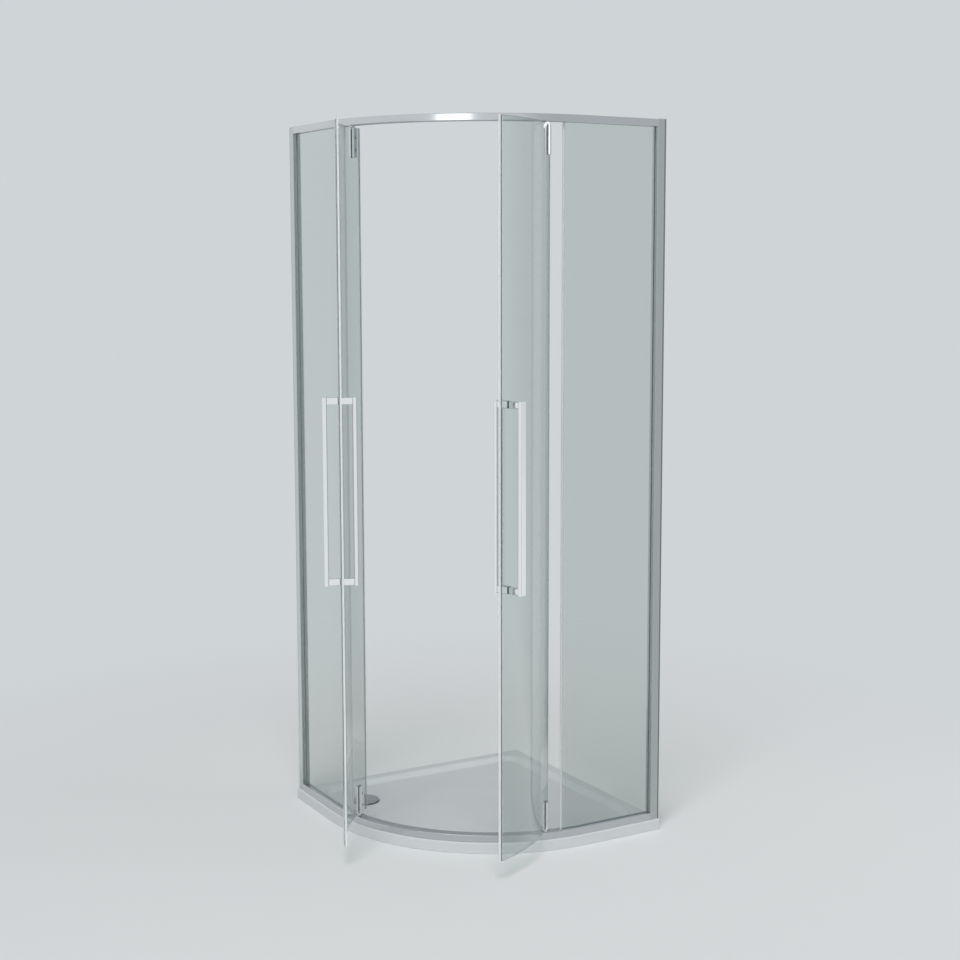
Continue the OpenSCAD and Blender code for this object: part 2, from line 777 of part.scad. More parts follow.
tray();
waste_body();
waste_seal();
waste_cover();
wall_channel();  // wall_channel_right
left() wall_channel();  // wall_channel_left
glass_profile();  // glass_profile_right
left() glass_profile();  // glass_profile_left
profile_cap();  // profile_cap_right
left() profile_cap();  // profile_cap_left
profile_screws();  // profile_screws_right
left() profile_screws();  // profile_screws_left
glazing_gasket();  // glazing_gasket_right
left() glazing_gasket();  // glazing_gasket_left
fixed_glass();  // fixed_glass_right
left() fixed_glass();  // fixed_glass_left
setting_blocks();  // setting_blocks_right
left() setting_blocks();  // setting_blocks_left
end_seal();  // end_seal_right
left() end_seal();  // end_seal_left
top_rail();
bottom_rail();
top_infill();
bottom_infill();
rail_screws();  // rail_screws_right
left() rail_screws();  // rail_screws_left
pivot_bushes();  // pivot_bushes_right
left() pivot_bushes();  // pivot_bushes_left
swing() door_glass();  // door_glass_right
left() swing() door_glass();  // door_glass_left
swing() hinge_block_top();  // hinge_block_top_right
left() swing() hinge_block_top();  // hinge_block_top_left
swing() hinge_block_bottom();  // hinge_block_bottom_right
left() swing() hinge_block_bottom();  // hinge_block_bottom_left
swing() hinge_pads();  // hinge_pads_right
left() swing() hinge_pads();  // hinge_pads_left
swing() pivot_pins();  // pivot_pins_right
left() swing() pivot_pins();  // pivot_pins_left
swing() hinge_screws();  // hinge_screws_right
left() swing() hinge_screws();  // hinge_screws_left
swing() handle_outer();  // handle_outer_right
left() swing() handle_outer();  // handle_outer_left
swing() handle_inner();  // handle_inner_right
left() swing() handle_inner();  // handle_inner_left
swing() handle_studs();  // handle_studs_right
left() swing() handle_studs();  // handle_studs_left
swing() handle_washers();  // handle_washers_right
left() swing() handle_washers();  // handle_washers_left
swing() magnetic_seal();  // magnetic_seal_right
left() swing() magnetic_seal();  // magnetic_seal_left
swing() magnet_strip();  // magnet_strip_right
left() swing() magnet_strip();  // magnet_strip_left
swing() tail_seal();  // tail_seal_right
left() swing() tail_seal();  // tail_seal_left
swing() bottom_seal();  // bottom_seal_right
left() swing() bottom_seal();  // bottom_seal_left
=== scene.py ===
# %% [markdown]
# # A quadrant shower enclosure
#
# A low white tray with one rounded corner carries a curved glass front: a fixed panel at
# each end, and between them two curved doors that pivot outwards. This notebook takes
# the measured model as a fixed frame, models the visible pieces again with fine edges
# and smooth curves, and gives every surface the finish of the real one.

# %% Load the frame
import math

import bpy
from mathutils import Matrix, Vector


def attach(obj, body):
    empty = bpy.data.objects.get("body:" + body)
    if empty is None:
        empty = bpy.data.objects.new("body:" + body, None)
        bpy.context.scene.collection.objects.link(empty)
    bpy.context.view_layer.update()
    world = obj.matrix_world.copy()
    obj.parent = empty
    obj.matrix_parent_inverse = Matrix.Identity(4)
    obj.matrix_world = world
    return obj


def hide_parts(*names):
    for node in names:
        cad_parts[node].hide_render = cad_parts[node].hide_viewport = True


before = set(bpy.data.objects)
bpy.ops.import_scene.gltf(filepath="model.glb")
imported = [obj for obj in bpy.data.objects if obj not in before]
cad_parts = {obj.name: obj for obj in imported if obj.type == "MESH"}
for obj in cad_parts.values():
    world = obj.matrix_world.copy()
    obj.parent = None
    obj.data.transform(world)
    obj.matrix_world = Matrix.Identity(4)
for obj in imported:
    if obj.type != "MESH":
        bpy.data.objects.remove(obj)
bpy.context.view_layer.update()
bpy.ops.object.select_all(action="DESELECT")

# %% [markdown]
# ## Sizes
#
# The front follows one line in plan: straight from each end, then a quarter circle.
# Every piece sits on this "glass line", so a few driving sizes place everything. They
# are the sizes of the measured model, in millimetres, turned into Blender's metres.

# %% Driving sizes
MM = 0.001
TRAY_W, TRAY_R, TRAY_H = 800 * MM, 550 * MM, 32 * MM
LINE_INSET = 19 * MM
RAIL_W, RAIL_H = 28 * MM, 20 * MM
GROOVE_W, GROOVE_DEPTH = 6.6 * MM, 11 * MM
HIGH_TOP = 2043 * MM
GLASS_T, SETTING_BLOCK_T, GLASS_BITE = 6 * MM, 3 * MM, 8 * MM
PROFILE_LEN, PROFILE_W, PROFILE_BITE = 30 * MM, 28 * MM, 9 * MM
DOOR_GAP_LOW, DOOR_GAP_HIGH = 6 * MM, 4 * MM
OPEN_ANGLE = math.radians(62)
print("tray", TRAY_W, "m wide, top rail at", HIGH_TOP, "m")

# %% Sizes that follow from them
HALF = TRAY_W / 2
ARC_C = TRAY_R - HALF
LINE_R = TRAY_R - LINE_INSET
LINE_Y = LINE_INSET - HALF
LOW_TOP = TRAY_H + RAIL_H
HIGH_FACE = HIGH_TOP - RAIL_H
GLASS_Z = (LOW_TOP - GROOVE_DEPTH + SETTING_BLOCK_T, HIGH_FACE + GLASS_BITE)
DOOR_Z = (LOW_TOP + DOOR_GAP_LOW, HIGH_FACE - DOOR_GAP_HIGH)
PROFILE_X = HALF - PROFILE_LEN
print("doors are", round((DOOR_Z[1] - DOOR_Z[0]) / MM), "mm high")

# %% Angles along the curve
PIVOT_ARC, TAIL_ARC, HANDLE_ARC = 126 * MM, 44 * MM, 45 * MM
MAGNET_NOSE, TAIL_NOSE, FIXED_NOSE = 8 * MM, 3 * MM, 4 * MM
HALF_MEET_GAP, TAIL_GAP = 1 * MM, 1.2 * MM


def turn(length):
    """The angle that an arc length takes on the glass line."""
    return length / LINE_R


PIVOT_A = turn(PIVOT_ARC)
FREE_A = math.radians(45) - turn(HALF_MEET_GAP)
DOOR_FREE_A = FREE_A - turn(MAGNET_NOSE)
TAIL_A = PIVOT_A - turn(TAIL_ARC)
DOOR_TAIL_A = TAIL_A + turn(TAIL_NOSE)
FIXED_A = TAIL_A - turn(TAIL_GAP) - turn(FIXED_NOSE)
HANDLE_A = FREE_A - turn(HANDLE_ARC)
print("pivot at", round(math.degrees(PIVOT_A), 2), "degrees along the curve")

# %% [markdown]
# ## Places
#
# Right-hand pieces are modelled where they are easy to draw, near the world's origin or
# on the right straight run. A matrix then takes them to their place. Applying it leaves
# the object at the origin with its place in its mesh. A left-hand piece is a mirrored
# copy across the tray's diagonal, with its normals put right afterwards.

# %% Matrices for places
CENTRE = Vector((ARC_C, ARC_C, 0))
PIVOT = CENTRE + LINE_R * Vector((-math.sin(PIVOT_A), -math.cos(PIVOT_A), 0))
SWING = (
    Matrix.Translation(PIVOT)
    @ Matrix.Rotation(OPEN_ANGLE, 4, "Z")
    @ Matrix.Translation(-PIVOT)
)
OTHER_HAND = Matrix(((0, 1, 0, 0), (1, 0, 0, 0), (0, 0, 1, 0), (0, 0, 0, 1)))


def on_arc(angle, z=0.0):
    """On the glass line: x runs towards the door's free edge and y points outwards."""
    spin = Matrix.Rotation(math.pi - angle, 4, "Z")
    return Matrix.Translation(CENTRE) @ spin @ Matrix.Translation((0, LINE_R, z))


print("pivot at", tuple(round(c, 4) for c in PIVOT))

# %% [markdown]
# ## Modelling helpers
#
# Operators act on whatever is selected. These few helpers choose one object, choose its
# vertices, edges or faces by their place, and go in and out of edit mode, so that each
# modelling cell below reads as a list of steps.

# %% Choose an object and parts of it
KINDS = ["VERT", "EDGE", "FACE"]


def choose(obj):
    """Makes obj the only selected object."""
    if bpy.context.object and bpy.context.object.mode != "OBJECT":
        bpy.ops.object.mode_set(mode="OBJECT")
    bpy.ops.object.select_all(action="DESELECT")
    obj.select_set(True)
    bpy.context.view_layer.objects.active = obj


def middles(mesh, kind):
    """Each vertex, edge or face with its middle."""
    if kind == "VERT":
        return [(v, v.co) for v in mesh.vertices]
    if kind == "FACE":
        return [(f, f.center) for f in mesh.polygons]
    ends = [[mesh.vertices[i].co for i in e.vertices] for e in mesh.edges]
    return [(e, (a + b) / 2) for e, (a, b) in zip(mesh.edges, ends)]


def pick(obj, kind, test=None):
    """Enters edit mode with the parts selected whose middle passes the test, or all."""
    choose(obj)
    bpy.context.tool_settings.mesh_select_mode = [k == kind for k in KINDS]
    mesh = obj.data
    for item in [*mesh.vertices, *mesh.edges, *mesh.polygons]:
        item.select = False
    for item, middle in middles(mesh, kind):
        item.select = test is None or test(middle)
    bpy.ops.object.mode_set(mode="EDIT")


def done():
    """Merges double points, turns all faces outwards and leaves edit mode."""
    bpy.ops.mesh.select_all(action="SELECT")
    bpy.ops.mesh.remove_doubles(threshold=0.005 * MM)
    bpy.ops.mesh.normals_make_consistent(inside=False)
    bpy.ops.object.mode_set(mode="OBJECT")


print("parts are picked as", KINDS)


# %% Place, copy and join objects
def place(obj, matrix):
    """Applies a place to the mesh, so that the object stays at the origin."""
    choose(obj)
    obj.matrix_world = matrix @ obj.matrix_world
    bpy.ops.object.transform_apply(location=True, rotation=True, scale=True)
    if matrix.determinant() < 0:
        pick(obj, "FACE")
        done()
    return obj


def copy_to(obj, name, matrix):
    """A copy with its own mesh, at a place."""
    twin = obj.copy()
    twin.data = obj.data.copy()
    twin.name = twin.data.name = name
    bpy.context.collection.objects.link(twin)
    return place(twin, matrix)


def join(name, parts):
    """Joins several solids into one object."""
    choose(parts[0])
    for part in parts:
        part.select_set(True)
    bpy.ops.object.join()
    parts[0].name = parts[0].data.name = name
    return parts[0]


print("placing helpers are ready")


# %% Round, cut and unite
def use(obj, kind, **settings):
    """Adds a modifier with its settings and applies it."""
    choose(obj)
    modifier = obj.modifiers.new(kind.title(), kind)
    for key, value in settings.items():
        setattr(modifier, key, value)
    bpy.ops.object.modifier_apply(modifier=modifier.name)


def soften(obj, width, segments=3, angle=35):
    """Rounds the edges sharper than an angle in degrees and smooths the rest."""
    use(
        obj, "BEVEL", width=width, segments=segments, limit_method="ANGLE",
        angle_limit=math.radians(angle), use_clamp_overlap=True, miter_outer="MITER_ARC",
    )
    choose(obj)
    bpy.ops.object.shade_smooth_by_angle(angle=math.radians(30))


def combine(obj, operation, tools):
    """Cuts solids out of obj, or unites them with it, and deletes them."""
    for tool in tools:
        use(obj, "BOOLEAN", operation=operation, object=tool, solver="EXACT")
        bpy.data.objects.remove(tool)


print("finishing helpers are ready")


# %% Starting shapes
def shaped(name, scale=(1, 1, 1)):
    """Names the new primitive and applies its size and place."""
    obj = bpy.context.object
    obj.name = obj.data.name = name
    obj.scale = scale
    bpy.ops.object.transform_apply(location=True, rotation=True, scale=True)
    return obj


def block(name, low, high):
    """A box between two corners."""
    low, high = Vector(low), Vector(high)
    bpy.ops.mesh.primitive_cube_add(size=1, location=(low + high) / 2)
    return shaped(name, high - low)


def rod(name, radius, start, end, sides=48):
    """A round bar from start to end."""
    start, end = Vector(start), Vector(end)
    length = (end - start).length
    bpy.ops.mesh.primitive_cylinder_add(vertices=sides, radius=radius, depth=length)
    lie = (end - start).to_track_quat("Z", "Y").to_matrix().to_4x4()
    return place(shaped(name), Matrix.Translation((start + end) / 2) @ lie)


def standing_face(name, x, y_range, z_range):
    """A flat face square to X, as the end of a bar that is drawn out from it."""
    width, height = y_range[1] - y_range[0], z_range[1] - z_range[0]
    middle = (x, sum(y_range) / 2, sum(z_range) / 2)
    bpy.ops.mesh.primitive_plane_add(size=1, location=middle, rotation=(0, math.pi / 2, 0))
    return shaped(name, (height, width, 1))


print("starting shapes are ready")


# %% Cut a face and draw it out
DEGREES_A_STEP = 1.5


def bisect(obj, point, normal):
    """Cuts the whole mesh with a plane and keeps both sides."""
    pick(obj, "FACE")
    bpy.ops.mesh.bisect(plane_co=point, plane_no=normal)
    bpy.ops.object.mode_set(mode="OBJECT")


def draw_out(step):
    """Extrudes the selected faces."""
    bpy.ops.mesh.extrude_region_move(TRANSFORM_OT_translate={"value": step})


def swing_out(angle):
    """Spins the selected faces clockwise around the curve's centre."""
    steps = max(2, round(math.degrees(angle) / DEGREES_A_STEP))
    bpy.ops.mesh.spin(steps=steps, angle=angle, center=CENTRE, axis=(0, 0, 1))


print("curves turn by", DEGREES_A_STEP, "degrees a step")

# %% [markdown]
# ## Camera
#
# The view is from the open front corner, a little above the middle of the doors, with a
# longish lens, so that the tall uprights stay almost parallel. A small shift does the
# framing without tilting the uprights more.

# %% Add the camera
CAMERA_PLACE = (-2.334, -4.1435, 1.6438)
CAMERA_TURN, CAMERA_DIP = math.radians(30.57), math.radians(7.0)

bpy.ops.object.camera_add(
    location=CAMERA_PLACE, rotation=(math.pi / 2 - CAMERA_DIP, 0, -CAMERA_TURN)
)
camera = bpy.context.object
camera.data.lens = 61.16
camera.data.shift_x, camera.data.shift_y = -0.0270, -0.0164
bpy.context.scene.camera = camera
bpy.context.scene.view_settings.view_transform = "Standard"
print("camera", tuple(camera.location))

# %% [markdown]
# ## Colours and nodes
#
# Colours are written as the sRGB hex values that a screen shows, and one function turns
# them to the linear values that Blender calculates with. One more function adds a shader
# node with its settings, values and links, so that each material reads as a short list.


# %% Colour and node helpers
def colour(code):
    """An sRGB hex colour as linear RGBA."""
    parts = [int(code[i : i + 2], 16) / 255 for i in (1, 3, 5)]
    linear = [p / 12.92 if p <= 0.04045 else ((p + 0.055) / 1.055) ** 2.4 for p in parts]
    return (*linear, 1.0)


def add_node(tree, kind, settings=None, **inputs):
    """Adds a node. An input takes a value, a socket, or a node for its first output."""
    made = tree.nodes.new("ShaderNode" + kind)
    for key, value in (settings or {}).items():
        setattr(made, key, value)
    for key, value in inputs.items():
        socket = made.inputs[int(key[1:]) if key[1:].isdigit() else key.replace("_", " ")]
        if isinstance(value, bpy.types.Node):
            value = value.outputs[0]
        if isinstance(value, bpy.types.NodeSocket):
            tree.links.new(value, socket)
        else:
            socket.default_value = value
    return made


def new_material(name):
    """An empty material with its node tree, and a point's place on the object."""
    material = bpy.data.materials.new(name)
    material.use_nodes = True
    tree = material.node_tree
    tree.nodes.clear()
    return material, tree, add_node(tree, "TexCoord").outputs["Object"]


def show(tree, shader):
    """Feeds the material's output."""
    add_node(tree, "OutputMaterial", Surface=shader)


print("a mid grey is", [round(c, 3) for c in colour("#808080")])

# %% [markdown]
# ## Background and floor
#
# Glass and polished metal show their surroundings, so the surroundings are half of their
# finish. A panorama picture could be wrapped around the object, but a few plain tones
# are easier to steer. What is seen directly or through glass is one pale background
# colour. What metal and glass mirror is a light studio that is dim towards three sides,
# which gives chrome its greys. Scattered light gets a weak even fill. The floor is pale
# and plain, and far out it takes the background's colour, so that no horizon line runs
# behind the glass.

# %% The studio that is mirrored
PALE, STUDIO_TONE, FILL, FILL_STRENGTH = "#cfd4d7", "#ebeeef", "#f4f6f8", 0.28
# Each dim side: its direction in degrees, its tone, how far off it ends and is full
DIM_SIDES = [(15, "#8d9396", 37, 14), (60, "#a6abae", 34, 12), (-70, "#cbcfd2", 34, 16)]


def studio(tree, way):
    """The colour of the studio in a direction: light, but dim towards some sides."""
    level = add_node(tree, "VectorMath", {"operation": "MULTIPLY"}, _0=way, _1=(1, 1, 0))
    flat = add_node(tree, "VectorMath", {"operation": "NORMALIZE"}, _0=level)
    tone = colour(STUDIO_TONE)
    for side, dim_tone, ends, full in DIM_SIDES:
        side, ends, full = (math.radians(angle) for angle in (side, ends, full))
        towards = add_node(
            tree, "VectorMath", {"operation": "DOT_PRODUCT"}, _0=flat,
            _1=(math.cos(side), math.sin(side), 0.0),
        ).outputs["Value"]
        dim = add_node(
            tree, "MapRange", {"interpolation_type": "SMOOTHSTEP"}, Value=towards,
            From_Min=math.cos(ends), From_Max=math.cos(full),
        )
        tone = add_node(
            tree, "Mix", {"data_type": "RGBA"}, _0=dim, _6=tone, _7=colour(dim_tone)
        ).outputs[2]
    return tone


def kinds_of_ray(tree):
    """Whether a ray is seen directly or through glass, and whether it is mirrored."""
    ray = add_node(tree, "LightPath").outputs
    direct = add_node(
        tree, "Math", {"operation": "MAXIMUM"}, _0=ray["Is Camera Ray"],
        _1=ray["Is Transmission Ray"],
    )
    return direct, ray["Is Glossy Ray"]


print("the studio is dim towards", [side for side, *_ in DIM_SIDES], "degrees")

# %% Background
world = bpy.data.worlds.new("studio")
bpy.context.scene.world = world
world.use_nodes = True
tree = world.node_tree
tree.nodes.clear()
way = add_node(tree, "TexCoord").outputs["Generated"]
plain = add_node(tree, "Background", Color=colour(PALE), Strength=1.0)
mirrored = add_node(tree, "Background", Color=studio(tree, way), Strength=1.0)
fill = add_node(tree, "Background", Color=colour(FILL), Strength=FILL_STRENGTH)
direct, glossy = kinds_of_ray(tree)
indirect = add_node(tree, "MixShader", Fac=glossy, _1=fill, _2=mirrored)
both = add_node(tree, "MixShader", Fac=direct, _1=indirect, _2=plain)
add_node(tree, "OutputWorld", Surface=both)
print("background", PALE)

# %% Floor
FLOOR_R = 30
SEEN_FADE, MIRRORED_FADE = (1.0, 2.8), (0.6, 1.1)
bpy.ops.mesh.primitive_circle_add(
    vertices=96, radius=FLOOR_R, fill_type="NGON", location=(0, 0, -0.5 * MM)
)
floor = bpy.context.object
floor.name = "studio_floor"
paint, tree, where = new_material("pale studio floor")
distance = add_node(tree, "VectorMath", {"operation": "LENGTH"}, _0=where).outputs["Value"]
direct, glossy = kinds_of_ray(tree)


def far_out(fade, kind):
    """For one kind of ray, 0 near the object and 1 past the end of the fade."""
    far = add_node(
        tree, "MapRange", {"interpolation_type": "SMOOTHSTEP"}, Value=distance,
        From_Min=fade[0], From_Max=fade[1],
    )
    return add_node(tree, "Math", {"operation": "MULTIPLY"}, _0=far, _1=kind)


seen, in_metal = far_out(SEEN_FADE, direct), far_out(MIRRORED_FADE, glossy)
only_in_metal = add_node(
    tree, "Math", {"operation": "SUBTRACT", "use_clamp": True}, _0=in_metal, _1=direct
)
share = add_node(tree, "Math", {"operation": "MAXIMUM"}, _0=seen, _1=only_in_metal)
far_tone = add_node(
    tree, "Mix", {"data_type": "RGBA"}, _0=direct, _6=studio(tree, where), _7=colour(PALE)
).outputs[2]
near = add_node(tree, "BsdfDiffuse", Color=colour("#e8eaeb"))
far = add_node(tree, "Emission", Color=far_tone, Strength=1.0)
show(tree, add_node(tree, "MixShader", Fac=share, _1=near, _2=far))
floor.data.materials.append(paint)
print("floor radius", FLOOR_R, "m")

# %% [markdown]
# ## Lamps
#
# A broad, distant lamp high in front on the left lights the tray and the floor, and two
# tall softboxes light the front from both sides. Metal would show them as hard white
# patches, so it mirrors only one lamp: a small softbox for the bright patch in the middle
# of the top rail. None is seen through glass.


# %% Lamps
def add_lamp(kind, name, stand, aim, power, mirrored=False):
    """A lamp that stands at one point and is aimed at another."""
    bpy.ops.object.light_add(type=kind, location=stand)
    lamp = bpy.context.object
    lamp.name = name
    lamp.data.energy = power
    way_to = Vector(aim) - Vector(stand)
    lamp.rotation_euler = way_to.to_track_quat("-Z", "Y").to_euler()
    lamp.visible_glossy, lamp.visible_transmission = mirrored, False
    return lamp.data


def softbox(name, stand, aim, size, power, mirrored=False):
    """A rectangular studio lamp."""
    lamp = add_lamp("AREA", name, stand, aim, power, mirrored)
    lamp.shape = "RECTANGLE"
    lamp.size, lamp.size_y = size


add_lamp("SUN", "lamp_high", (-1.9, -2.4, 5.2), (0, 0, 0), 1.6).angle = math.radians(25)
softbox("lamp_left", (-3.5, -2.8, 1.75), (0, 0, 1.0), (1.5, 3.4), 25)
softbox("lamp_rail", (-3.5, -2.8, 2.45), (0, 0, 2.1), (1.6, 1.1), 8.5, mirrored=True)
softbox("lamp_right", (3.0, -2.7, 1.75), (0, 0, 1.0), (1.5, 3.4), 28)

# %% [markdown]
# ## Finishes: glass
#
# Toughened float glass, 6 mm thick, is clear with a slight green cast from its iron. It
# bends light and mirrors a little, more at a glancing angle, which its IOR gives. The
# furnace rollers leave a very slow wave in it, about 250 mm from crest to crest, and it
# only shows as a soft wobble in what the pane mirrors. Its edges are ground: matt, and
# dark green because one looks along the pane. The grit's marks are about 0.1 mm, and
# they are drawn 0.8 mm apart so that they show. Lamp light has to pass through to the
# tray behind, so for shadow rays glass and edge are plainly see-through.


# %% Glass and its ground edge
def let_light_in(tree, solid, tint):
    """Shows a solid shader to every ray but the lamps' own, which pass with a tint."""
    through = add_node(tree, "BsdfTransparent", Color=colour(tint))
    shadow = add_node(tree, "LightPath").outputs["Is Shadow Ray"]
    show(tree, add_node(tree, "MixShader", Fac=shadow, _1=solid, _2=through))


ROLLER_WAVE, GRIT_MARK = 250 * MM, 0.8 * MM
glass, tree, where = new_material("toughened float glass")
wave = add_node(tree, "TexNoise", Vector=where, Scale=1 / ROLLER_WAVE, Detail=1.0)
ripple = add_node(tree, "Bump", Strength=0.01, Distance=0.03 * MM, Height=wave)
clear = add_node(
    tree, "BsdfPrincipled", Base_Color=colour("#dde3e1"), Roughness=0.0, IOR=1.52,
    Transmission_Weight=1.0, Normal=ripple,
)
let_light_in(tree, clear, "#eef4f2")

ground_edge, tree, where = new_material("ground glass edge")
grit = add_node(tree, "TexNoise", Vector=where, Scale=1 / GRIT_MARK, Detail=2.0)
matt = add_node(tree, "MapRange", Value=grit, To_Min=0.25, To_Max=0.45)
edge = add_node(
    tree, "BsdfPrincipled", Base_Color=colour("#6a7775"), Roughness=matt, IOR=1.52,
    Transmission_Weight=0.25,
)
let_light_in(tree, edge, "#9fb0ac")
print("glass:", glass.name, "and", ground_edge.name)

# %% [markdown]
# ## Finishes: metals
#
# The rails and wall profiles are extruded aluminium, bright dipped and anodised: a soft
# gloss with hair-fine lines that the die leaves along the bar. The handles, hinge blocks
# and caps are chrome-plated zinc: a mirror, only blurred a little where hands wipe it.
# The screws are plain stainless steel, and the waste cover is the same, polished.
#
# The die lines follow the bar. On an upright profile the pattern depends on X and Y
# alone. On a rail it depends on the height and on the distance from the glass line's
# centre, which grows only outwards. Real lines are finer than 0.1 mm, so they are drawn
# 0.8 mm apart to show.

# %% Extruded aluminium
DIE_LINE, DULL_PATCH = 0.8 * MM, 90 * MM


def extruded(name, tint, dull, upright):
    """Anodised aluminium with die lines along the bar."""
    material, tree, where = new_material(name)
    if upright:
        lines = add_node(
            tree, "VectorMath", {"operation": "MULTIPLY"}, _0=where, _1=(1, 1, 0)
        )
    else:
        inwards = add_node(
            tree, "VectorMath", {"operation": "SUBTRACT"}, _0=where, _1=CENTRE
        )
        quarter = add_node(
            tree, "VectorMath", {"operation": "MINIMUM"}, _0=inwards, _1=(0, 0, 0)
        )
        radius = add_node(tree, "VectorMath", {"operation": "LENGTH"}, _0=quarter)
        height = add_node(tree, "SeparateXYZ", Vector=where).outputs["Z"]
        lines = add_node(tree, "CombineXYZ", X=radius.outputs["Value"], Y=height)
    fine = add_node(tree, "TexNoise", Vector=lines, Scale=1 / DIE_LINE, Detail=3.0)
    cloud = add_node(tree, "TexNoise", Vector=where, Scale=1 / DULL_PATCH, Detail=2.0)
    gloss = add_node(tree, "MapRange", Value=cloud, To_Min=dull - 0.03, To_Max=dull + 0.05)
    tone = add_node(
        tree, "Mix", {"data_type": "RGBA"}, _0=fine, _6=colour(tint[0]), _7=colour(tint[1])
    )
    groove = add_node(tree, "Bump", Strength=0.08, Distance=0.02 * MM, Height=fine)
    show(tree, add_node(
        tree, "BsdfPrincipled", Base_Color=tone.outputs[2], Metallic=1.0, Roughness=gloss,
        Normal=groove,
    ))
    return material


rail_metal = extruded("bright anodised rail", ("#c6cacc", "#d1d4d6"), 0.16, False)
profile_metal = extruded("bright anodised profile", ("#b9bfbe", "#c6cbca"), 0.20, True)
# The wall channel is mill finish aluminium, but its tint is darker than that metal's own
# grey. The extra dark is painted shade for the shadow where the profile meets the wall.
shaded_channel_metal = extruded("mill finish aluminium darkened as painted wall shadow", ("#828687", "#909495"), 0.42, True)
print("extruded:", rail_metal.name, profile_metal.name, shaded_channel_metal.name)


# %% Polished metal
def polished(name, tint, clean, smeared, mark):
    """Plated or turned metal, whose gloss varies in patches about a mark's size apart."""
    material, tree, where = new_material(name)
    wiped = add_node(
        tree, "TexNoise", Vector=where, Scale=1 / mark, Detail=4.0, Distortion=0.6
    )
    gloss = add_node(
        tree, "MapRange", {"interpolation_type": "SMOOTHSTEP"}, Value=wiped, From_Min=0.35,
        From_Max=0.75, To_Min=clean, To_Max=smeared,
    )
    tone = add_node(
        tree, "Mix", {"data_type": "RGBA"}, _0=wiped, _6=colour(tint[0]), _7=colour(tint[1])
    )
    show(tree, add_node(
        tree, "BsdfPrincipled", Base_Color=tone.outputs[2], Metallic=1.0, Roughness=gloss
    ))
    return material


chrome = polished("chrome plate", ("#e9ebec", "#f0f1f2"), 0.03, 0.09, 40 * MM)
steel = polished("stainless steel", ("#a4a7a9", "#b7babc"), 0.22, 0.34, 6 * MM)
cover_metal = polished("polished waste cover", ("#b4b8ba", "#c2c5c7"), 0.10, 0.20, 30 * MM)
print("polished:", chrome.name, steel.name, cover_metal.name)

# %% [markdown]
# ## Finishes: tray, seals and small parts
#
# The tray is cast stone resin under a white gelcoat. The gelcoat takes the gloss of the
# mould, with a faint orange peel and a slightly cloudy white. The seals are soft PVC.
# Their clear walls are only 1 mm thin: they veil what is behind and don't bend it, so
# they are drawn by alpha. The lips that touch are milky. Rubber and moulded plastics
# hardly shine. Their grain is finer than 0.1 mm, and it is drawn about 1 mm apart so
# that it shows.

# %% Gelcoat
CLOUD, ORANGE_PEEL = 120 * MM, 9 * MM
gelcoat, tree, where = new_material("white gelcoat")
cloud = add_node(tree, "TexNoise", Vector=where, Scale=1 / CLOUD, Detail=3.0)
peel = add_node(tree, "TexNoise", Vector=where, Scale=1 / ORANGE_PEEL, Detail=1.5)
tone = add_node(
    tree, "Mix", {"data_type": "RGBA"}, _0=cloud, _6=colour("#d0d3d5"), _7=colour("#d7dadc")
)
gloss = add_node(tree, "MapRange", Value=cloud, To_Min=0.12, To_Max=0.2)
skin = add_node(tree, "Bump", Strength=0.05, Distance=0.2 * MM, Height=peel)
show(tree, add_node(
    tree, "BsdfPrincipled", Base_Color=tone.outputs[2], Roughness=gloss, Normal=skin,
    IOR=1.5,
))
print("tray finish:", gelcoat.name)


# %% Clear seal and its milky lip
def soft_seal(name, tint, dull, cover):
    """Soft PVC whose gloss varies in patches 15 mm apart. cover is how much it hides."""
    material, tree, where = new_material(name)
    milk = add_node(tree, "TexNoise", Vector=where, Scale=1 / (15 * MM), Detail=2.0)
    gloss = add_node(tree, "MapRange", Value=milk, To_Min=dull - 0.05, To_Max=dull + 0.05)
    show(tree, add_node(
        tree, "BsdfPrincipled", Base_Color=colour(tint), Roughness=gloss, IOR=1.53,
        Alpha=cover,
    ))
    return material


seal = soft_seal("clear seal", "#e9efef", 0.2, 0.08)
lip = soft_seal("milky seal lip", "#f6f8f8", 0.35, 0.6)
print("seals:", seal.name, lip.name)


# %% Moulded parts
def moulded(name, tint, dull, grain):
    """Rubber or plastic with a fine moulded grain."""
    material, tree, where = new_material(name)
    fine = add_node(tree, "TexNoise", Vector=where, Scale=1 / grain, Detail=2.0)
    tone = add_node(
        tree, "Mix", {"data_type": "RGBA"}, _0=fine, _6=colour(tint[0]), _7=colour(tint[1])
    )
    gloss = add_node(tree, "MapRange", Value=fine, To_Min=dull - 0.06, To_Max=dull + 0.06)
    relief = add_node(tree, "Bump", Strength=0.15, Distance=0.05 * MM, Height=fine)
    show(tree, add_node(
        tree, "BsdfPrincipled", Base_Color=tone.outputs[2], Roughness=gloss, Normal=relief
    ))
    return material


rubber = moulded("black rubber", ("#2c2f31", "#383b3d"), 0.62, 0.8 * MM)
gasket_rubber = moulded("grey glazing rubber", ("#9ba0a1", "#a8adae"), 0.6, 0.8 * MM)
magnet_tape = moulded("white magnetic tape", ("#f1f3f4", "#f7f9fa"), 0.45, 0.7 * MM)
nylon = moulded("white nylon", ("#dcdddb", "#e6e7e5"), 0.42, 1.0 * MM)
plastic = moulded("grey moulded plastic", ("#8d9193", "#999d9f"), 0.45, 1.0 * MM)
print("moulded:", *(m.name for m in (rubber, gasket_rubber, magnet_tape, nylon, plastic)))


# %% Give a piece its finish, body and node
def finish(obj, material, body, node):
    """Sets the finish, the body it moves with and the node that it stands for."""
    if material.name not in obj.data.materials:
        obj.data.materials.clear()
        obj.data.materials.append(material)
    use(obj, "WEIGHTED_NORMAL", keep_sharp=True)
    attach(obj, body)
    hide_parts(node)
    size = [round(s / MM, 1) for s in obj.dimensions]
    print(obj.name, "faces", len(obj.data.polygons), "size mm", size)


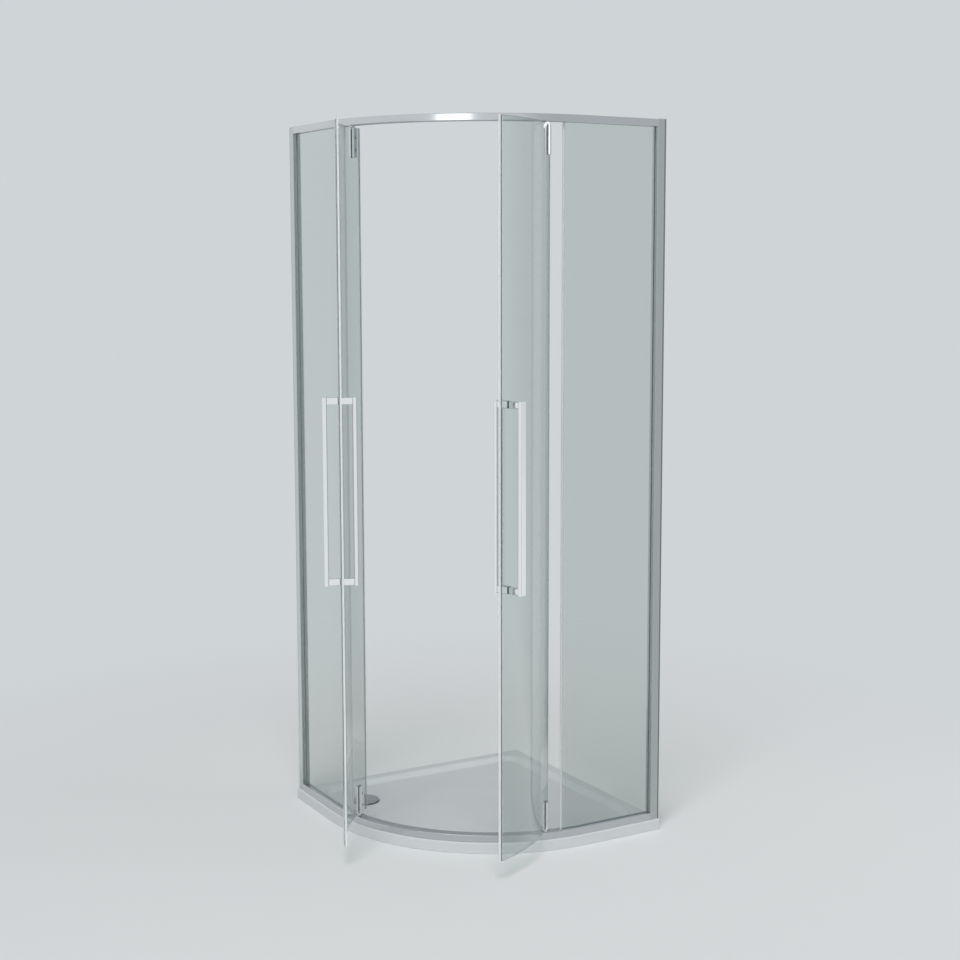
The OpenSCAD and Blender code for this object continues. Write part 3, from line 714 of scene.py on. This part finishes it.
def both_hands(obj, name, material, body):
    """Finishes a right-hand piece and its left-hand twin. body is "frame" or "door"."""
    twin = copy_to(obj, name + "_left_piece", OTHER_HAND)
    obj.name = obj.data.name = name + "_right_piece"
    for piece, side in ((obj, "right"), (twin, "left")):
        rides_on = "frame" if body == "frame" else side + "_door"
        finish(piece, material, rides_on, name + "_" + side)


print("pieces ride on frame, right_door and left_door")

# %% [markdown]
# ## Tray
#
# The real tray is cast in one piece: a slab with one large rounded corner, a flat rim,
# and a shallow basin whose side slopes in an S. A slab is drawn up from a plane whose
# corner is rounded. The basin is a second solid, made of insets that sink along a cosine,
# and it is subtracted. That gives an even slope all round, which a sculpted surface would
# only come near.

# %% Slab with a rounded corner
TRAY_EDGE_R, CORNER_STEPS = 4 * MM, 72
bpy.ops.mesh.primitive_plane_add(size=TRAY_W)
tray = shaped("tray_casting")
pick(tray, "VERT", lambda p: p.x < 0 and p.y < 0)
bpy.ops.mesh.bevel(offset=TRAY_R, segments=CORNER_STEPS, affect="VERTICES")
bpy.ops.mesh.select_all(action="SELECT")
draw_out((0, 0, TRAY_H))
done()
pick(tray, "EDGE", lambda p: p.z > TRAY_H - MM and max(p.x, p.y) < HALF - MM)
bpy.ops.mesh.bevel(offset=TRAY_EDGE_R, segments=5, affect="EDGES")
done()
print("slab faces", len(tray.data.polygons))

# %% Basin
RIM_W, BACK_RIM_W = 54 * MM, 30 * MM
BASIN_DEPTH, BASIN_SLOPE_W, BASIN_CORNER_R = 14 * MM, 24 * MM, 70 * MM
SLOPE_STEPS, SPARE = 10, 5 * MM
low, high = RIM_W - HALF, HALF - BACK_RIM_W


def at_end(value):
    """Whether a coordinate lies on the basin's square outline."""
    return min(value - low, high - value) < MM


middle = (low + high) / 2
bpy.ops.mesh.primitive_plane_add(size=1, location=(middle, middle, TRAY_H + SPARE))
basin = shaped("basin", (high - low, high - low, 1))
pick(basin, "VERT", lambda p: p.x < 0 and p.y < 0)
bpy.ops.mesh.bevel(offset=TRAY_R - RIM_W, segments=CORNER_STEPS, affect="VERTICES")
pick(basin, "VERT", lambda p: at_end(p.x) and at_end(p.y))
bpy.ops.mesh.bevel(offset=BASIN_CORNER_R, segments=14, affect="VERTICES")
bpy.ops.mesh.select_all(action="SELECT")
draw_out((0, 0, -SPARE))
done()
pick(basin, "FACE", lambda p: abs(p.z - TRAY_H) < 0.1 * MM)
turns = [math.pi * step / SLOPE_STEPS for step in range(SLOPE_STEPS + 1)]
sunk = [BASIN_DEPTH * (1 - math.cos(t)) / 2 for t in turns]
for above, below in zip(sunk, sunk[1:]):
    bpy.ops.mesh.inset(thickness=BASIN_SLOPE_W / SLOPE_STEPS, depth=below - above)
done()
print("basin faces", len(basin.data.polygons))

# %% Waste hole
WASTE = Vector((-255 * MM, 225 * MM, 0))
BASIN_Z = TRAY_H - BASIN_DEPTH
RECESS_R, RECESS_DEPTH, HOLE_R = 47 * MM, 4 * MM, 38 * MM


def at_waste(z, out=0.0, angle=0.0):
    """A point over the waste's middle, or out from it at an angle in degrees."""
    angle = math.radians(angle)
    return WASTE + Vector((out * math.cos(angle), out * math.sin(angle), z))


recess = rod("recess", RECESS_R, at_waste(BASIN_Z - RECESS_DEPTH), at_waste(TRAY_H), 96)
hole = rod("hole", HOLE_R, at_waste(-MM), at_waste(TRAY_H), 96)
combine(tray, "DIFFERENCE", [basin, recess, hole])
soften(tray, 0.8 * MM, 2, 50)
finish(tray, gelcoat, "frame", "tray")

# %% [markdown]
# ## Waste cover
#
# A polished disc hides the waste. It could be left a flat disc, but it is slightly domed
# by a few insets, so that its edge catches a light line. It stands on three short legs,
# so that water runs in under it.

# %% Domed cover
COVER_R, COVER_T, COVER_Z = 44 * MM, 2 * MM, BASIN_Z + 2.5 * MM
LEG_R, LEG_OUT, LEG_DROP = 3 * MM, 38.75 * MM, 3 * MM


def dome(obj, test, insets):
    """Domes the faces that pass the test. An inset is a width and a rise in mm."""
    pick(obj, "FACE", test)
    for width, rise in insets:
        bpy.ops.mesh.inset(thickness=width * MM, depth=rise * MM)
    done()


cover = rod("waste_cover_disc", COVER_R, at_waste(COVER_Z), at_waste(COVER_Z + COVER_T), 96)
top = COVER_Z + 0.95 * COVER_T
dome(cover, lambda p: p.z > top, ((4, 0.45), (8, 0.3), (12, 0.2), (14, 0.05)))
soften(cover, 0.5 * MM)
legs = []
for angle in (0, 120, 240):
    foot = at_waste(COVER_Z - LEG_DROP, LEG_OUT, angle)
    legs.append(rod("leg", LEG_R, foot, at_waste(COVER_Z + 0.5 * MM, LEG_OUT, angle), 24))
combine(cover, "UNION", legs)
finish(cover, cover_metal, "frame", "waste_cover")

# %% [markdown]
# ## Rails
#
# Each rail is one bent extrusion with a groove for the glass. Its section is drawn as a
# face at the right-hand end, cut by planes to open the groove, and then drawn out: a
# straight run, a quarter turn with the spin tool, and the second straight run. The top
# rail is the same bar turned over.

# %% Bottom rail
RAIL_EDGE_R, BUSH_R = 2 * MM, 7 * MM
GROOVE_Z = LOW_TOP - GROOVE_DEPTH
rail_sides = (LINE_Y - RAIL_W / 2, LINE_Y + RAIL_W / 2)
rail = standing_face("bottom_rail_bar", PROFILE_X, rail_sides, (TRAY_H, LOW_TOP))
pick(rail, "VERT")
bpy.ops.mesh.bevel(offset=RAIL_EDGE_R, segments=4, affect="VERTICES")
for side in (-1, 1):
    bisect(rail, (0, LINE_Y + side * GROOVE_W / 2, 0), (0, 1, 0))
bisect(rail, (0, 0, GROOVE_Z), (0, 0, 1))
pick(rail, "FACE", lambda p: abs(p.y - LINE_Y) < GROOVE_W / 2 and p.z > GROOVE_Z)
bpy.ops.mesh.delete(type="FACE")
bpy.ops.mesh.select_all(action="SELECT")
draw_out((ARC_C - PROFILE_X, 0, 0))
swing_out(math.pi / 2)
draw_out((0, PROFILE_X - ARC_C, 0))
done()
foot, head = (PIVOT + Vector((0, 0, z)) for z in (GROOVE_Z, LOW_TOP + MM))
hands = (Matrix.Identity(4), OTHER_HAND)
combine(rail, "DIFFERENCE", [rod("bore", BUSH_R, m @ foot, m @ head) for m in hands])
soften(rail, 0.3 * MM, 2, 50)
print("rail faces", len(rail.data.polygons))

# %% Its twin on top
UPSIDE_DOWN = Matrix.Scale(-1, 4, (0, 0, 1))
top_rail = copy_to(
    rail, "top_rail_bar", Matrix.Translation((0, 0, TRAY_H + HIGH_TOP)) @ UPSIDE_DOWN
)
finish(rail, rail_metal, "frame", "bottom_rail")
finish(top_rail, rail_metal, "frame", "top_rail")

# %% [markdown]
# ## Curved bars
#
# Panes, infill strips and the doors' bottom seals all follow the glass line. A straight
# bar could be bent with a modifier, but spinning a face gives the exact arc. The face is
# set up where the curve begins, and the whole bar is then turned to where it starts.


# %% A bar that follows the curve
def curved_bar(name, offsets, heights, start, end, cut=None):
    """A bar between two offsets, two heights and two angles. cut shapes its section."""
    bar = standing_face(name, ARC_C, (LINE_Y - offsets[1], LINE_Y - offsets[0]), heights)
    if cut:
        cut(bar)
    pick(bar, "FACE")
    swing_out(end - start)
    done()
    to_centre, spin = Matrix.Translation(CENTRE), Matrix.Rotation(-start, 4, "Z")
    return place(bar, to_centre @ spin @ Matrix.Translation(-CENTRE))


print("the glass line turns at a radius of", round(LINE_R / MM), "mm")

# %% Infill strips
INFILL_HALF = 3.1 * MM
BUSH_A, START_A = turn(7.4 * MM), FIXED_A + turn(0.3 * MM)
QUARTER = math.pi / 2
SPANS = [
    (START_A, PIVOT_A - BUSH_A),
    (PIVOT_A + BUSH_A, QUARTER - PIVOT_A - BUSH_A),
    (QUARTER - PIVOT_A + BUSH_A, QUARTER - START_A),
]
for name, heights in (
    ("bottom_infill", (GROOVE_Z, LOW_TOP)),
    ("top_infill", (HIGH_FACE, HIGH_FACE + GROOVE_DEPTH)),
):
    strips = join(name + "_strips", [
        curved_bar(name, (-INFILL_HALF, INFILL_HALF), heights, a, b) for a, b in SPANS
    ])
    soften(strips, 0.4 * MM, 2, 50)
    finish(strips, plastic, "frame", name)

# %% [markdown]
# ## Glass panes
#
# Each pane is cut and bent before it is toughened, and all its edges are ground to a
# small chamfer, called an arris. The arris is what draws the thin bright line down the
# open edge of a door, so it is modelled and not left to the shader. Holes for hinge
# screws and handle studs are drilled, and notches leave room for the pivots.

# %% Ground edges
GLASS_HALF, ARRIS = GLASS_T / 2, 0.7 * MM


def grind(pane):
    """Adds the arris, and gives the top and upright edges the ground finish."""
    soften(pane, ARRIS, 1, 50)
    pane.data.materials.append(glass)
    pane.data.materials.append(ground_edge)
    for face in pane.data.polygons:
        radius = Vector((min(c, 0) for c in (face.center - CENTRE).xy)).normalized()
        along_line = abs(radius.cross(face.normal.xy))
        face.material_index = max(along_line, face.normal.z) > 0.6


print("arris", ARRIS / MM, "mm")

# %% Fixed panes
fixed_x = PROFILE_X + PROFILE_BITE
glass_sides = (LINE_Y - GLASS_HALF, LINE_Y + GLASS_HALF)
fixed = standing_face("fixed_pane", fixed_x, glass_sides, GLASS_Z)
pick(fixed, "FACE")
draw_out((ARC_C - PROFILE_X - PROFILE_BITE, 0, 0))
swing_out(FIXED_A)
done()
grind(fixed)
both_hands(fixed, "fixed_glass", glass, "frame")

# %% Places on a door
BLOCK_W, SLOT_Z, BLOCK_TOP, SCREW_STEP = 21 * MM, 10.8 * MM, 86.8 * MM, 17 * MM
HANDLE_Z, HANDLE_H, HANDLE_LEG = 1035 * MM, 511 * MM, 20 * MM
SCREW_ZS = [(SLOT_Z + BLOCK_TOP) / 2 + side * SCREW_STEP for side in (-1, 1)]
STUD_ZS = [HANDLE_Z + side * (HANDLE_H - HANDLE_LEG) / 2 for side in (-1, 1)]
AT_LOW = on_arc(PIVOT_A, LOW_TOP)
AT_HIGH = on_arc(PIVOT_A, HIGH_FACE) @ UPSIDE_DOWN
AT_HANDLE = on_arc(HANDLE_A)
print("studs at", [round(z / MM, 1) for z in STUD_ZS], "mm")

# %% Door panes
NOTCH_HALF, SCREW_HOLE_R, STUD_HOLE_R, THROUGH = 11.5 * MM, 4.5 * MM, 6 * MM, 20 * MM


def bore(matrix, radius, z):
    """A rod for a hole through the pane."""
    start, end = (matrix @ Vector((0, y, z)) for y in (-THROUGH, THROUGH))
    return rod("hole", radius, start, end)


door = curved_bar("door_pane", (-GLASS_HALF, GLASS_HALF), DOOR_Z, DOOR_TAIL_A, DOOR_FREE_A)
tools = []
for at in (AT_LOW, AT_HIGH):
    notch = block("notch", (-NOTCH_HALF, -THROUGH, 0), (NOTCH_HALF, THROUGH, SLOT_Z + MM))
    tools.append(place(notch, at))
    tools += [bore(at, SCREW_HOLE_R, z) for z in SCREW_ZS]
tools += [bore(AT_HANDLE, STUD_HOLE_R, z) for z in STUD_ZS]
combine(door, "DIFFERENCE", tools)
grind(door)
both_hands(place(door, SWING), "door_glass", glass, "door")

# %% [markdown]
# ## Hinge blocks
#
# A pivot block is a chrome-plated casting: a U that grips the pane from below or above,
# with a round nose at the rail. Pads keep the metal off the glass, and two socket screws
# pull it tight from the inside. The nose is a 10 mm bevel on both lower edges of a block.

# %% Pivot block
NOSE_Z, BLOCK_D, SLOT_HALF = 1.8 * MM, 20 * MM, 4.05 * MM
SEAT_R, HEAD_T, PIN_BORE_R = 4.6 * MM, 2.4 * MM, 4.02 * MM
INSIDE_Y = -BLOCK_D / 2
hinge = block(
    "hinge", (-BLOCK_W / 2, INSIDE_Y, NOSE_Z), (BLOCK_W / 2, BLOCK_D / 2, BLOCK_TOP)
)
pick(hinge, "EDGE", lambda p: p.z < NOSE_Z + MM and abs(p.x) < MM)
bpy.ops.mesh.bevel(offset=BLOCK_D / 2 - 0.02 * MM, segments=14, affect="EDGES")
done()
cuts = [block("slot", (-BLOCK_W, -SLOT_HALF, SLOT_Z), (BLOCK_W, SLOT_HALF, BLOCK_TOP + MM))]
cuts += [rod("seat", SEAT_R, (0, -BLOCK_D, z), (0, HEAD_T + INSIDE_Y, z)) for z in SCREW_ZS]
cuts += [rod("bore", PIN_BORE_R, (0, 0, 0), (0, 0, SLOT_Z - MM))]
combine(hinge, "DIFFERENCE", cuts)
soften(hinge, 0.6 * MM, 3, 40)
print("pivot block faces", len(hinge.data.polygons))

# %% Socket screws for the hinges
HEAD_R, SHANK_R, SHANK_END = 4.45 * MM, 2.5 * MM, 8 * MM
SOCKET_R, SOCKET_DEPTH = 1.75 * MM, 1.5 * MM
screw = rod("screw", HEAD_R, (0, INSIDE_Y, 0), (0, HEAD_T + INSIDE_Y, 0), 40)
shank = rod("shank", SHANK_R, (0, 2 * MM + INSIDE_Y, 0), (0, SHANK_END, 0), 24)
combine(screw, "UNION", [shank])
socket = rod("socket", SOCKET_R, (0, -BLOCK_D, 0), (0, SOCKET_DEPTH + INSIDE_Y, 0), 6)
combine(screw, "DIFFERENCE", [socket])
soften(screw, 0.3 * MM, 2, 40)
screws = join("hinge_screw_set", [
    copy_to(screw, "screw", SWING @ at @ Matrix.Translation((0, 0, z)))
    for at in (AT_LOW, AT_HIGH) for z in SCREW_ZS
])
bpy.data.objects.remove(screw)
both_hands(screws, "hinge_screws", steel, "door")

# %% Blocks at the top and the bottom of a door
top_hinge = copy_to(hinge, "hinge_block_top", SWING @ AT_HIGH)
both_hands(top_hinge, "hinge_block_top", chrome, "door")
both_hands(place(hinge, SWING @ AT_LOW), "hinge_block_bottom", chrome, "door")

# %% [markdown]
# ## Handles
#
# Two flat bars stand back to back on each door, each on two square legs, and studs
# through the glass join them. The bar's edges are rounded by 3 mm and the legs' by 4 mm.
# Polished bars like these are welded and ground before plating, so the bar and its legs
# are one solid here too, made with a union.

# %% Handle bar and legs
BAR_W, BAR_T, REACH, WASHER_T = 24 * MM, 12 * MM, 40 * MM, 1.5 * MM
BAR_EDGE_R, LEG_EDGE_R = 3 * MM, 4 * MM
SEAT, HALF_H = GLASS_HALF + WASHER_T, HANDLE_H / 2
bar = block(
    "handle",
    (-BAR_W / 2, REACH - BAR_T / 2, -HALF_H),
    (BAR_W / 2, REACH + BAR_T / 2, HALF_H),
)
pick(bar, "EDGE", lambda p: abs(p.z) < MM)
bpy.ops.mesh.bevel(offset=BAR_EDGE_R, segments=6, affect="EDGES")
done()
for z in (-HALF_H, HALF_H - HANDLE_LEG):
    leg = block(
        "leg", (-HANDLE_LEG / 2, SEAT, z), (HANDLE_LEG / 2, REACH, z + HANDLE_LEG)
    )
    pick(leg, "EDGE", lambda p: abs(p.y - (SEAT + REACH) / 2) < MM)
    bpy.ops.mesh.bevel(offset=LEG_EDGE_R, segments=6, affect="EDGES")
    done()
    combine(bar, "UNION", [leg])
soften(bar, 0.5 * MM, 3, 40)
print("handle faces", len(bar.data.polygons))

# %% Handles on both sides of a pane
AT_BAR = SWING @ on_arc(HANDLE_A, HANDLE_Z)
# The pane is hollow on its inner side, so a flat washer stands 0.1 mm off it
TURNED_IN = Matrix.Translation((0, -0.1 * MM, 0)) @ Matrix.Scale(-1, 4, (0, 1, 0))
inner = copy_to(bar, "handle_inner", AT_BAR @ TURNED_IN)
both_hands(place(bar, AT_BAR), "handle_outer", chrome, "door")
both_hands(inner, "handle_inner", chrome, "door")

# %% [markdown]
# ## Seals
#
# Clear soft seals close the doors. Each one clips over the edge of a pane with two thin
# walls. The seal on a door's free edge also holds a magnetic strip, the one at its tail
# nearly touches the fixed panel's seal, and the one below the door has two fins that
# hang over the rail. An upright seal is a plan outline drawn upwards, and the bottom seal
# is a section spun along the glass line.

# %% Upright seals
CLIP_LEN, CLIP_HALF, CLIP_GAP = 6.5 * MM, 4 * MM, 3.06 * MM
NOSE_ROUNDNESS = 0.45


def cut_out(obj, xs, ys, inside):
    """Cuts a plan outline along X and Y, and deletes the faces inside."""
    for x in xs:
        bisect(obj, (x, 0, 0), (1, 0, 0))
    for y in ys:
        bisect(obj, (0, y, 0), (0, 1, 0))
    pick(obj, "FACE", inside)
    bpy.ops.mesh.delete(type="FACE")


def upright_seal(name, nose, side, heights, pocket=None):
    """A seal on a pane that ends at x = 0. side is +1 where the nose points along +X."""
    ends = sorted((-side * CLIP_LEN, side * nose))
    bpy.ops.mesh.primitive_plane_add(size=1, location=(sum(ends) / 2, 0, heights[0]))
    obj = shaped(name, (ends[1] - ends[0], 2 * CLIP_HALF, 1))
    pick(obj, "VERT", lambda p: p.x * side > 0)
    rounding = min(nose, CLIP_HALF) * NOSE_ROUNDNESS
    bpy.ops.mesh.bevel(offset=rounding, segments=4, affect="VERTICES")
    walls = (-CLIP_GAP, CLIP_GAP)
    cut_out(obj, (0,), walls, lambda p: p.x * side < 0 and abs(p.y) < CLIP_GAP)
    if pocket:
        near, far = pocket
        half = (far - near) / 2
        cut_out(
            obj, (side * near, side * far), (-half, half),
            lambda p: near < p.x * side < far and abs(p.y) < half,
        )
    pick(obj, "FACE")
    draw_out((0, 0, heights[1] - heights[0]))
    done()
    obj.data.materials.append(seal)
    obj.data.materials.append(lip)
    for face in obj.data.polygons:
        face.material_index = face.center.x * side > 0.1 * MM and not pocket
    return obj


print("a seal grips", round(CLIP_LEN / MM, 1), "mm of its pane")

# %% Seals on the upright edges
MAGNET_POCKET, END_GAP = (2.15 * MM, 6.65 * MM), 0.3 * MM
magnetic = upright_seal("magnetic_seal", MAGNET_NOSE, 1, DOOR_Z, MAGNET_POCKET)
tail = upright_seal("tail_seal", TAIL_NOSE, -1, DOOR_Z)
end = upright_seal("end_seal", FIXED_NOSE, 1, (LOW_TOP + END_GAP, HIGH_FACE - END_GAP))
for strip, name, at, body in (
    (magnetic, "magnetic_seal", SWING @ on_arc(DOOR_FREE_A), "door"),
    (tail, "tail_seal", SWING @ on_arc(DOOR_TAIL_A), "door"),
    (end, "end_seal", on_arc(FIXED_A), "frame"),
):
    soften(place(strip, at), 0.2 * MM, 2, 50)
    both_hands(strip, name, seal, body)

# %% Bottom seals
BASE_T, FIN_GAP, CLIP_H, PIVOT_GAP = 1.2 * MM, 0.8 * MM, 10 * MM, 12.5 * MM


def finned(section):
    """Opens the clip above the base, and the gap between the fins below it."""
    for z in (DOOR_Z[0] - BASE_T, DOOR_Z[0]):
        bisect(section, (0, 0, z), (0, 0, 1))
    for y in (LINE_Y - CLIP_GAP, LINE_Y + CLIP_GAP):
        bisect(section, (0, y, 0), (0, 1, 0))
    base, half = DOOR_Z[0] - BASE_T / 2, BASE_T / 2
    pick(section, "FACE", lambda p: abs(p.y - LINE_Y) < CLIP_GAP and abs(p.z - base) > half)
    bpy.ops.mesh.delete(type="FACE")


sweep = curved_bar(
    "bottom_seal", (-CLIP_HALF, CLIP_HALF), (LOW_TOP + FIN_GAP, DOOR_Z[0] + CLIP_H),
    PIVOT_A + turn(PIVOT_GAP), DOOR_FREE_A - turn(CLIP_LEN + END_GAP), finned,
)
soften(sweep, 0.2 * MM, 2, 50)
both_hands(place(sweep, SWING), "bottom_seal", seal, "door")

# %% [markdown]
# ## Wall profiles
#
# The upright profiles are straight extrusions with square faces, so the measured solids
# are kept as they are. Their caps and locking screws are small things that catch light,
# and they are modelled again with rounded edges.

# %% Caps on the profiles
CAP_T, CAP_LIP = 2.5 * MM, 0.3 * MM
cap = block(
    "profile_cap", (PROFILE_X, LINE_Y - PROFILE_W / 2 - CAP_LIP, HIGH_TOP),
    (HALF, LINE_Y + PROFILE_W / 2 + CAP_LIP, HIGH_TOP + CAP_T),
)
pick(cap, "EDGE", lambda p: abs(p.z - HIGH_TOP - CAP_T / 2) < 0.1 * MM)
bpy.ops.mesh.bevel(offset=1 * MM, segments=4, affect="EDGES")
done()
soften(cap, 0.7 * MM, 4, 50)
both_hands(cap, "profile_cap", chrome, "frame")

# %% A pan head screw with a cross
PAN_R, PAN_RISE, LOCK_SHANK_R = 3.5 * MM, 1.2 * MM, 2 * MM
SCREW_FOOT, SCREW_SEAT = LINE_Y + 9.9 * MM, LINE_Y + PROFILE_W / 2
pan = rod("pan", PAN_R, (0, SCREW_SEAT, 0), (0, SCREW_SEAT + PAN_RISE, 0), 40)
top = SCREW_SEAT + PAN_RISE - 0.1 * MM
dome(pan, lambda p: p.y > top, ((0.4, 0.45), (0.7, 0.35), (1.2, 0.2)))
shank = rod("shank", LOCK_SHANK_R, (0, SCREW_FOOT, 0), (0, SCREW_SEAT + 0.5 * MM, 0), 24)
combine(pan, "UNION", [shank])
cross_y = (SCREW_SEAT + 0.9 * MM, SCREW_SEAT + 3 * MM)
cross = [
    block("cross", (-a * MM, cross_y[0], -b * MM), (a * MM, cross_y[1], b * MM))
    for a, b in ((2, 0.45), (0.45, 2))
]
combine(pan, "DIFFERENCE", cross)
soften(pan, 0.15 * MM, 2, 40)
print("screw faces", len(pan.data.polygons))

# %% Screws that lock the profiles
LOCK_X, LOCK_Z, LOCK_SPACING = 389.5 * MM, 1037.5 * MM, 790 * MM
locks = join("profile_screw_set", [
    copy_to(pan, "screw", Matrix.Translation((LOCK_X, 0, LOCK_Z + i * LOCK_SPACING)))
    for i in (-1, 0, 1)
])
bpy.data.objects.remove(pan)
both_hands(locks, "profile_screws", steel, "frame")

# %% [markdown]
# ## Small parts that stay as measured
#
# Gaskets, pads, pins, bushes and studs are mostly hidden between other pieces. Their
# measured solids are right as they are and only take a finish.

# %% Finishes of the measured solids
KEPT = {
    "glass_profile": profile_metal,
    "wall_channel": shaded_channel_metal,
    "glazing_gasket": gasket_rubber,
    "setting_blocks": rubber,
    "hinge_pads": rubber,
    "handle_washers": plastic,
    "waste_seal": rubber,
    "magnet_strip": magnet_tape,
    "waste_body": plastic,
    "pivot_bushes": nylon,
    "pivot_pins": steel,
    "handle_studs": steel,
    "rail_screws": steel,
}
bare = []
for name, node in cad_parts.items():
    kind = name.removesuffix("_right").removesuffix("_left")
    if kind in KEPT:
        node.data.materials.clear()
        node.data.materials.append(KEPT[kind])
    elif not node.hide_render:
        bare.append(name)
print("nodes with no finish:", bare)
